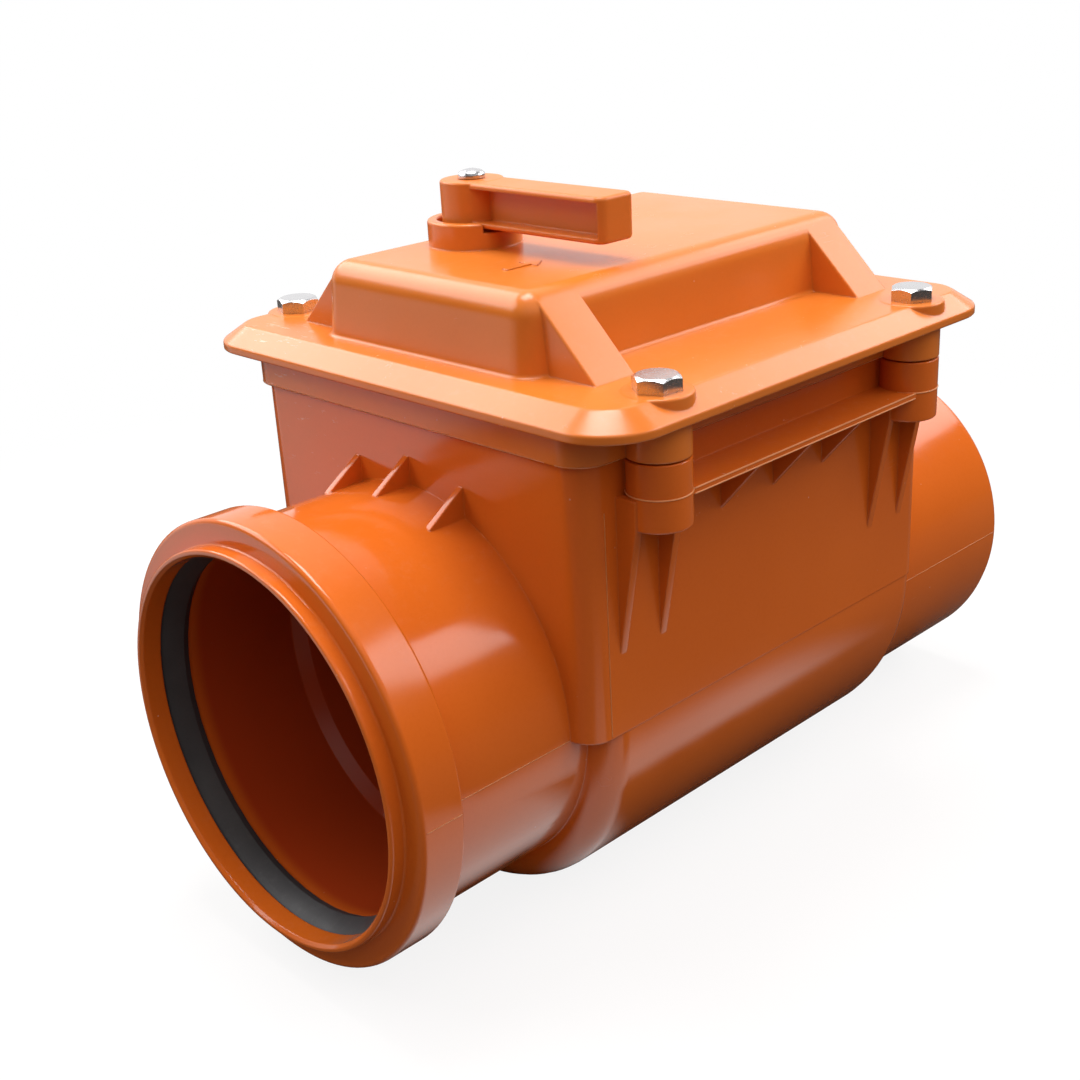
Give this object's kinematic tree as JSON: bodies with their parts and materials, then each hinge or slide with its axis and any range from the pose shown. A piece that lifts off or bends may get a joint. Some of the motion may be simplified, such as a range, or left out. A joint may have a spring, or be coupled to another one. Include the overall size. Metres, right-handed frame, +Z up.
{
  "type": "backwater valve",
  "caption": "Inline drain backwater valve with a ribbed box chamber, bolted gusseted lid, sealed socket inlet, plain spigot outlet, inner swing flap and a locking lever on top.",
  "frame": {"origin": "centre of the inlet mouth, on the axis of the incoming pipe", "axes": "+X along the flow to the outlet, +Z up to the lid and lever, +Y to the left looking downstream"},
  "size_m": [0.328, 0.194, 0.2359],
  "materials": {
    "orange_plastic": "glossy moulded",
    "black_rubber": "satin",
    "grey_plastic": "moulded",
    "zinc_steel": "bright zinc",
    "stainless_steel": "turned"
  },
  "bodies": {
    "valve": {"valve_body": "orange_plastic", "socket_seal": "black_rubber", "flap_frame": "grey_plastic", "frame_gasket": "black_rubber", "hinge_pin": "stainless_steel", "hinge_clip": "stainless_steel", "lid": "orange_plastic", "lid_gasket": "black_rubber", "lid_bolt_1": "zinc_steel", "lid_bolt_2": "zinc_steel", "lid_bolt_3": "zinc_steel", "lid_bolt_4": "zinc_steel", "lid_nut_1": "zinc_steel", "lid_nut_2": "zinc_steel", "lid_nut_3": "zinc_steel", "lid_nut_4": "zinc_steel"},
    "flap": {"flap": "orange_plastic", "flap_seal": "black_rubber"},
    "lever": {"lever": "orange_plastic", "lever_screw": "zinc_steel", "spindle": "stainless_steel", "spindle_oring": "black_rubber", "lock_cam": "grey_plastic", "cam_washer": "stainless_steel", "cam_screw": "stainless_steel"}
  },
  "joints": [
    {"name": "flap_swing", "type": "hinge", "parent": "valve", "child": "flap", "pos_m": [0.09626, 0, 0.07786], "axis": [0, -1, 0], "range_deg": [0, 70]},
    {"name": "lever_turn", "type": "hinge", "parent": "valve", "child": "lever", "pos_m": [0.12666, 0.0253, 0.1316], "axis": [0, 0, 1], "range_deg": [0, 90]}
  ]
}
